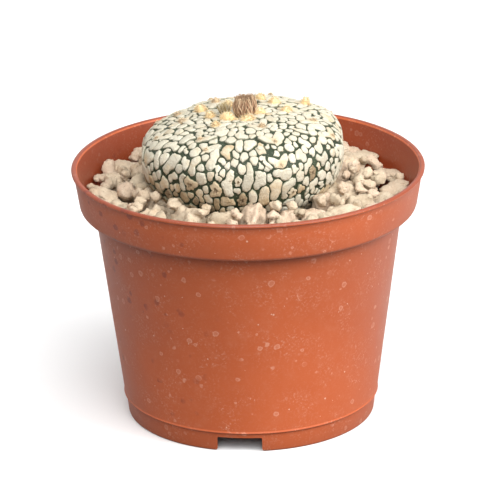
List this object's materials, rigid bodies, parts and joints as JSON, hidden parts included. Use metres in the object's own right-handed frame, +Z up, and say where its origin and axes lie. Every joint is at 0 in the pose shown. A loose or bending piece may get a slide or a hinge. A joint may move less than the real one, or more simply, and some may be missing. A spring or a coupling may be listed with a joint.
{
  "type": "potted round cactus",
  "caption": "Round, shallow-ribbed star cactus with white flecked skin, growing in a tapered plastic nursery pot topped with pumice gravel.",
  "frame": {"origin": "centre of the pot's foot, on the surface it stands on", "axes": "+Z up along the pot's axis; -Y towards the front of the plant"},
  "size_m": [0.105, 0.105, 0.0984],
  "materials": {
    "pot_plastic": "semi-matte terracotta-brown moulded plastic, dusty",
    "potting_mix": "dark crumbly potting mix",
    "cactus_skin": "dark green skin almost covered by raised cream-white flecks",
    "pumice": "dry, rough beige pumice",
    "areole_wool": "soft yellowish-tan wool",
    "dried_flower": "dry, curled brown fibres",
    "dried_bud": "dry, fuzzy olive-tan fibres"
  },
  "bodies": {
    "root": {"pot": "pot_plastic", "soil": "potting_mix", "cactus": "cactus_skin", "stone_01": "pumice", "stone_02": "pumice", "stone_03": "pumice", "stone_04": "pumice", "stone_05": "pumice", "stone_06": "pumice", "stone_07": "pumice", "stone_08": "pumice", "stone_09": "pumice", "stone_10": "pumice", "stone_11": "pumice", "stone_12": "pumice", "stone_13": "pumice", "stone_14": "pumice", "stone_15": "pumice", "stone_16": "pumice", "stone_17": "pumice", "stone_18": "pumice", "stone_19": "pumice", "stone_20": "pumice", "stone_21": "pumice", "stone_22": "pumice", "stone_23": "pumice", "stone_24": "pumice", "stone_25": "pumice", "stone_26": "pumice", "stone_27": "pumice", "stone_28": "pumice", "stone_29": "pumice", "stone_30": "pumice", "stone_31": "pumice", "stone_32": "pumice", "stone_33": "pumice", "stone_34": "pumice", "stone_35": "pumice", "stone_36": "pumice", "stone_37": "pumice", "stone_38": "pumice", "stone_39": "pumice", "stone_40": "pumice", "stone_41": "pumice", "stone_42": "pumice", "stone_43": "pumice", "stone_44": "pumice", "stone_45": "pumice", "stone_46": "pumice", "stone_47": "pumice", "stone_48": "pumice", "stone_49": "pumice", "crown_wool": "areole_wool", "dried_flower": "dried_flower", "dried_bud": "dried_bud"}
  },
  "joints": []
}
